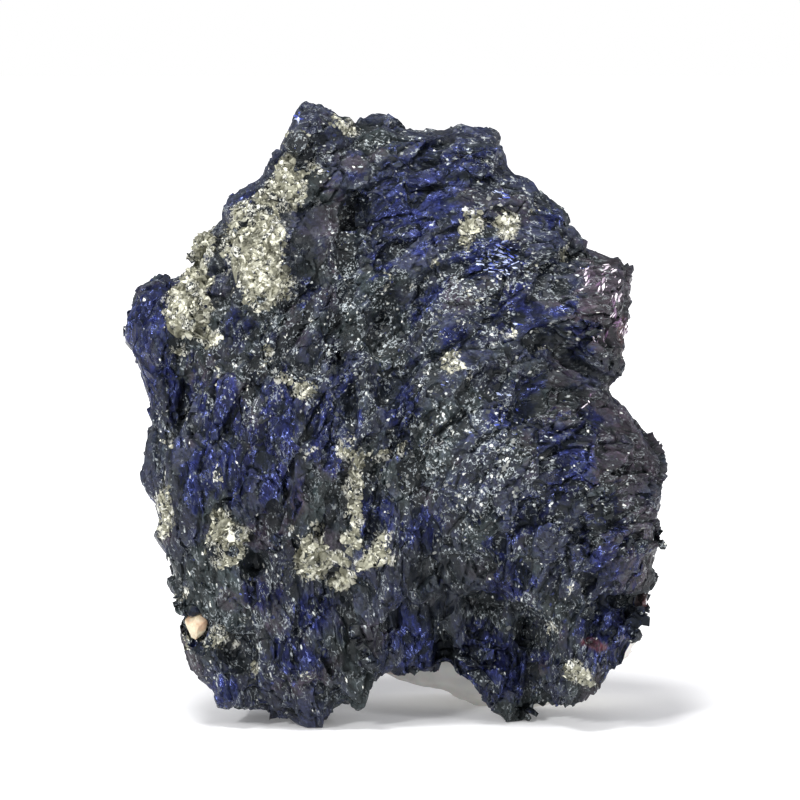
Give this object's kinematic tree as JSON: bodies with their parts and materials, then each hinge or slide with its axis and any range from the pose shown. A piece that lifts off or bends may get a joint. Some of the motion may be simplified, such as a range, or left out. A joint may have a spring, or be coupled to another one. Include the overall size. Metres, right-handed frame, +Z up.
{
  "type": "covellite specimen",
  "caption": "Rough upright covellite specimen with brassy pyrite clusters and a quartz chip, standing on two feet against a prop of white putty.",
  "frame": {"origin": "centre of the specimen's footprint at floor height, below the middle of its bounding box", "axes": "+Z up, +X to the right seen from the front, and the display face looks along -Y"},
  "size_m": [0.0532, 0.0298, 0.0599],
  "materials": {
    "covellite": "dark slate to indigo, submetallic glitter on the cleaved plates",
    "pyrite": "pale brassy metallic grains with dark gaps",
    "quartz": "pale pink, glossy and slightly cloudy",
    "putty": "matt off-white, pressed by hand"
  },
  "bodies": {
    "root": {"covellite_mass": "covellite", "pink_quartz_chip": "quartz", "putty_support": "putty", "pyrite_back_fleck": "pyrite", "pyrite_back_patch": "pyrite", "pyrite_crest_slope": "pyrite", "pyrite_large_patch": "pyrite", "pyrite_left_knob": "pyrite", "pyrite_left_shoulder": "pyrite", "pyrite_lower_left": "pyrite", "pyrite_lower_middle": "pyrite", "pyrite_lower_right": "pyrite", "pyrite_right_foot": "pyrite", "pyrite_upper_right": "pyrite", "pyrite_vein": "pyrite"}
  },
  "joints": []
}
